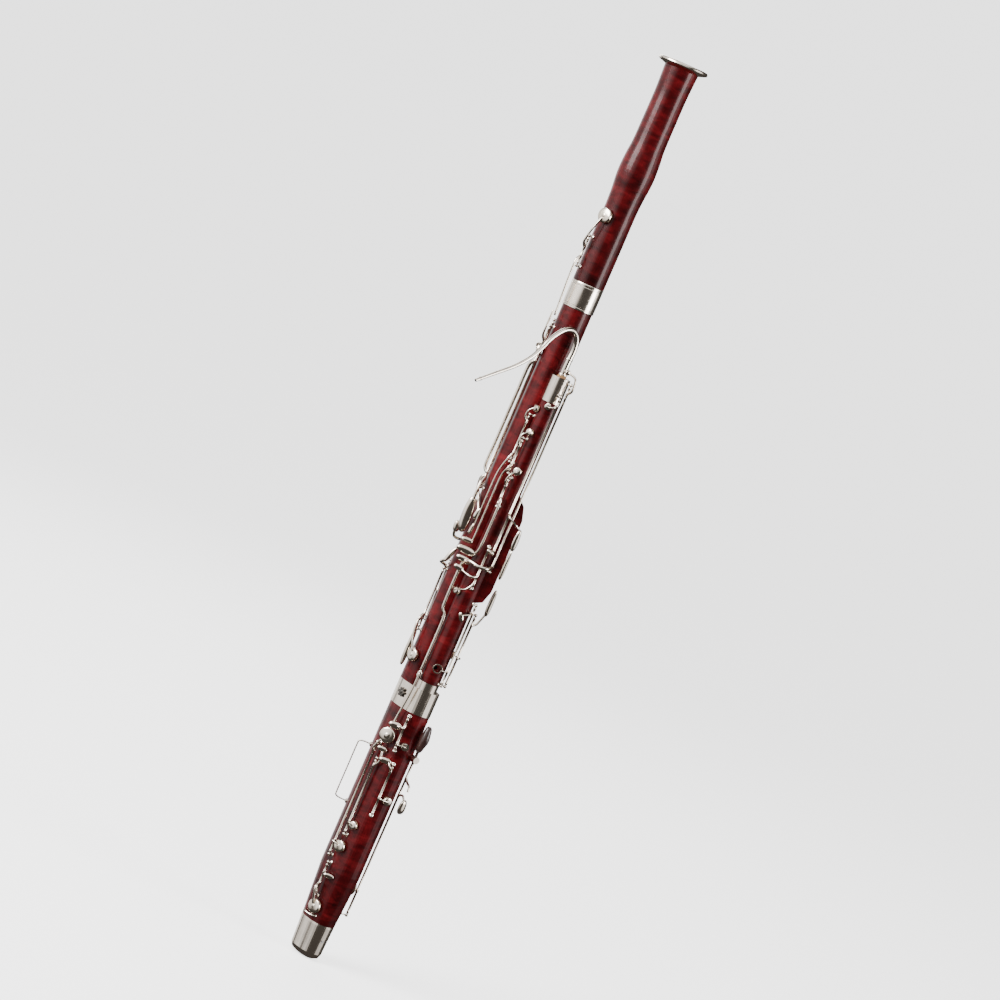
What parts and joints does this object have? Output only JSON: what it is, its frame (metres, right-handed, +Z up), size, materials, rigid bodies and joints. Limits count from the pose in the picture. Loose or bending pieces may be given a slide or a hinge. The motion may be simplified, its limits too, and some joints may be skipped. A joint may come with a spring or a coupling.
{
  "type": "bassoon",
  "caption": "Double-reed woodwind with folded wooden body in boot, wing, bass and bell joints, metal bands, curved metal bocal and full sprung keywork.",
  "frame": {"origin": "centre of the flat foot of the boot cap, the lowest point of the instrument", "axes": "+Z runs up the instrument along the bass joint towards the bell, -Y is the thumb side that carries the thumb keys, +X points from the bass joint towards the wing joint"},
  "size_m": [0.1028, 0.1917, 1.34],
  "materials": {
    "maple": "stained red flamed maple under gloss lacquer",
    "nickel": "polished nickel plate",
    "key_plate": "polished nickel plated key metal",
    "steel": "turned steel",
    "cork": "greased cork",
    "pad_leather": "pad leather",
    "liner": "black hard rubber",
    "dark_plastic": "dark varnished crutch"
  },
  "bodies": {
    "instrument": {"boot_body": "maple", "boot_top_band": "nickel", "boot_cap": "nickel", "cap_screws": "steel", "return_bend": "nickel", "boot_posts": "nickel", "boot_rods": "steel", "wire_guard": "nickel", "pad_guard": "nickel", "hand_rest_socket": "nickel", "strap_ring": "nickel", "bass_body": "maple", "bass_corks": "cork", "bass_posts": "nickel", "bass_rods": "steel", "wing_body": "maple", "wing_ferrule": "nickel", "wing_low_ring": "nickel", "wing_cork": "cork", "wing_liner": "liner", "wing_posts": "nickel", "wing_rods": "steel"},
    "bell": {"bell_body": "maple", "bell_ferrule": "nickel", "bell_rim": "nickel", "bell_posts": "nickel", "bell_rod": "steel"},
    "bocal": {"bocal_tube": "nickel", "bocal_cork": "cork", "bocal_nipple": "nickel"},
    "hand_rest": {"hand_rest": "dark_plastic"},
    "lock": {"lock_knob": "nickel"},
    "low_bb_bell": {"low_bb_bell_key": "key_plate", "low_bb_bell_pad": "pad_leather"},
    "low_bb_lever": {"low_bb_lever": "key_plate"},
    "low_b": {"low_b_key": "key_plate", "low_b_pad": "pad_leather"},
    "low_c": {"low_c_key": "key_plate", "low_c_pad": "pad_leather"},
    "low_d": {"low_d_key": "key_plate", "low_d_pad": "pad_leather"},
    "low_eb": {"low_eb_key": "key_plate", "low_eb_pad": "pad_leather"},
    "whisper": {"whisper_key": "key_plate"},
    "trill": {"trill_key": "key_plate"},
    "high_d": {"high_d_key": "key_plate"},
    "high_c": {"high_c_key": "key_plate"},
    "high_a": {"high_a_key": "key_plate"},
    "c_sharp": {"c_sharp_key": "key_plate"},
    "ring": {"ring_key": "key_plate"},
    "eb_finger": {"eb_finger_key": "key_plate"},
    "e": {"e_key": "key_plate", "e_pad": "pad_leather"},
    "f_sharp": {"f_sharp_key": "key_plate"},
    "bb_thumb": {"bb_thumb_key": "key_plate"},
    "ab_thumb": {"ab_thumb_key": "key_plate"},
    "low_f": {"low_f_key": "key_plate", "low_f_pad": "pad_leather"},
    "ab_finger": {"ab_finger_key": "key_plate"},
    "g": {"g_key": "key_plate"}
  },
  "joints": [
    {"name": "bell_pull", "type": "slide", "parent": "instrument", "child": "bell", "axis": [0, 0, 1], "range_m": [0, 0.034]},
    {"name": "bocal_turn", "type": "hinge", "parent": "instrument", "child": "bocal", "pos_m": [0.0205, -0.005, 0.867], "axis": [0, 0, 1], "range_deg": [-15, 15]},
    {"name": "hand_rest_turn", "type": "hinge", "parent": "instrument", "child": "hand_rest", "pos_m": [0.042, 0.009, 0.32], "axis": [0, 0, 1], "range_deg": [-30, 30]},
    {"name": "lock_turn", "type": "hinge", "parent": "instrument", "child": "lock", "pos_m": [-0.00144, -0.024, 0.396], "axis": [0, -1, 0], "range_deg": [0, 90]},
    {"name": "low_bb_bell_hinge", "type": "hinge", "parent": "bell", "child": "low_bb_bell", "pos_m": [-0.0183, -0.02728, 1.053], "axis": [0, 0, 1], "range_deg": [0, 4], "stiffness_Nm_per_rad": 0.04, "springref_deg": -8.59},
    {"name": "low_bb_lever_hinge", "type": "hinge", "parent": "instrument", "child": "low_bb_lever", "pos_m": [-0.02034, -0.02568, 0.82], "axis": [0, 0, 1], "range_deg": [0, 3], "stiffness_Nm_per_rad": 0.04, "springref_deg": -8.59},
    {"name": "low_b_hinge", "type": "hinge", "parent": "instrument", "child": "low_b", "pos_m": [-0.03737, -0.00923, 0.824], "axis": [0, 0, 1], "range_deg": [0, 3], "stiffness_Nm_per_rad": 0.04, "springref_deg": -8.59},
    {"name": "low_c_hinge", "type": "hinge", "parent": "instrument", "child": "low_c", "pos_m": [-0.0382, 0.00653, 0.648], "axis": [0, 0, 1], "range_deg": [0, 4], "stiffness_Nm_per_rad": 0.04, "springref_deg": -8.59},
    {"name": "low_d_hinge", "type": "hinge", "parent": "instrument", "child": "low_d", "pos_m": [-0.0255, -0.02338, 0.529], "axis": [0, 0, 1], "range_deg": [0, 4], "stiffness_Nm_per_rad": 0.04, "springref_deg": -8.59},
    {"name": "low_eb_hinge", "type": "hinge", "parent": "instrument", "child": "low_eb", "pos_m": [-0.03768, -0.00834, 0.542], "axis": [0, 0, 1], "range_deg": [0, 4], "stiffness_Nm_per_rad": 0.04, "springref_deg": -8.59},
    {"name": "whisper_hinge", "type": "hinge", "parent": "instrument", "child": "whisper", "pos_m": [0.03909, 0.00088, 0.739], "axis": [0, 0, 1], "range_deg": [-3, 0], "stiffness_Nm_per_rad": 0.04, "springref_deg": 8.59},
    {"name": "trill_hinge", "type": "hinge", "parent": "instrument", "child": "trill", "pos_m": [0.03968, -0.0085, 0.742], "axis": [0, 0, 1], "range_deg": [0, 6], "stiffness_Nm_per_rad": 0.04, "springref_deg": -8.59},
    {"name": "high_d_hinge", "type": "hinge", "parent": "instrument", "child": "high_d", "pos_m": [0.01075, -0.02189, 0.784], "axis": [0, 0, 1], "range_deg": [-6, 0], "stiffness_Nm_per_rad": 0.04, "springref_deg": 8.59},
    {"name": "high_c_hinge", "type": "hinge", "parent": "instrument", "child": "high_c", "pos_m": [0.0205, -0.0245, 0.761], "axis": [0, 0, 1], "range_deg": [-6, 0], "stiffness_Nm_per_rad": 0.04, "springref_deg": 8.59},
    {"name": "high_a_hinge", "type": "hinge", "parent": "instrument", "child": "high_a", "pos_m": [0.02587, -0.02374, 0.708], "axis": [0, 0, 1], "range_deg": [-6, 0], "stiffness_Nm_per_rad": 0.04, "springref_deg": 8.59},
    {"name": "c_sharp_hinge", "type": "hinge", "parent": "instrument", "child": "c_sharp", "pos_m": [0.037, -0.01539, 0.6], "axis": [0, 0, 1], "range_deg": [-3, 0], "stiffness_Nm_per_rad": 0.04, "springref_deg": 8.59},
    {"name": "ring_hinge", "type": "hinge", "parent": "instrument", "child": "ring", "pos_m": [0.03819, 0.0032, 0.488], "axis": [0, 0, 1], "range_deg": [-4, 0], "stiffness_Nm_per_rad": 0.04, "springref_deg": 8.59},
    {"name": "eb_finger_hinge", "type": "hinge", "parent": "instrument", "child": "eb_finger", "pos_m": [0.03436, 0.01294, 0.481], "axis": [0, 0, 1], "range_deg": [0, 4], "stiffness_Nm_per_rad": 0.04, "springref_deg": -8.59},
    {"name": "e_hinge", "type": "hinge", "parent": "instrument", "child": "e", "pos_m": [-0.00135, -0.02848, 0.233], "axis": [0, 0, 1], "range_deg": [0, 4], "stiffness_Nm_per_rad": 0.04, "springref_deg": -8.59},
    {"name": "f_sharp_hinge", "type": "hinge", "parent": "instrument", "child": "f_sharp", "pos_m": [0.01001, -0.02763, 0.241], "axis": [0, 0, 1], "range_deg": [-5, 0], "stiffness_Nm_per_rad": 0.04, "springref_deg": 8.59},
    {"name": "bb_thumb_hinge", "type": "hinge", "parent": "instrument", "child": "bb_thumb", "pos_m": [0.02877, -0.02018, 0.345], "axis": [0, 0, 1], "range_deg": [-5, 0], "stiffness_Nm_per_rad": 0.04, "springref_deg": 8.59},
    {"name": "ab_thumb_hinge", "type": "hinge", "parent": "instrument", "child": "ab_thumb", "pos_m": [0.03406, -0.01556, 0.262], "axis": [0, 0, 1], "range_deg": [-5, 0], "stiffness_Nm_per_rad": 0.04, "springref_deg": 8.59},
    {"name": "low_f_hinge", "type": "hinge", "parent": "instrument", "child": "low_f", "pos_m": [0.00331, -0.02741, 0.112], "axis": [0, 0, 1], "range_deg": [0, 4], "stiffness_Nm_per_rad": 0.04, "springref_deg": -8.59},
    {"name": "ab_finger_hinge", "type": "hinge", "parent": "instrument", "child": "ab_finger", "pos_m": [0.02, 0.027, 0.207], "axis": [0, 0, 1], "range_deg": [-5, 0], "stiffness_Nm_per_rad": 0.04, "springref_deg": 8.59},
    {"name": "g_hinge", "type": "hinge", "parent": "instrument", "child": "g", "pos_m": [-0.006, 0.029, 0.26], "axis": [0, 0, 1], "range_deg": [0, 4], "stiffness_Nm_per_rad": 0.04, "springref_deg": -8.59}
  ],
  "couplings": [
    {"joint": "low_bb_bell_hinge", "follows": "low_bb_lever_hinge", "ratio": 1.2}
  ]
}
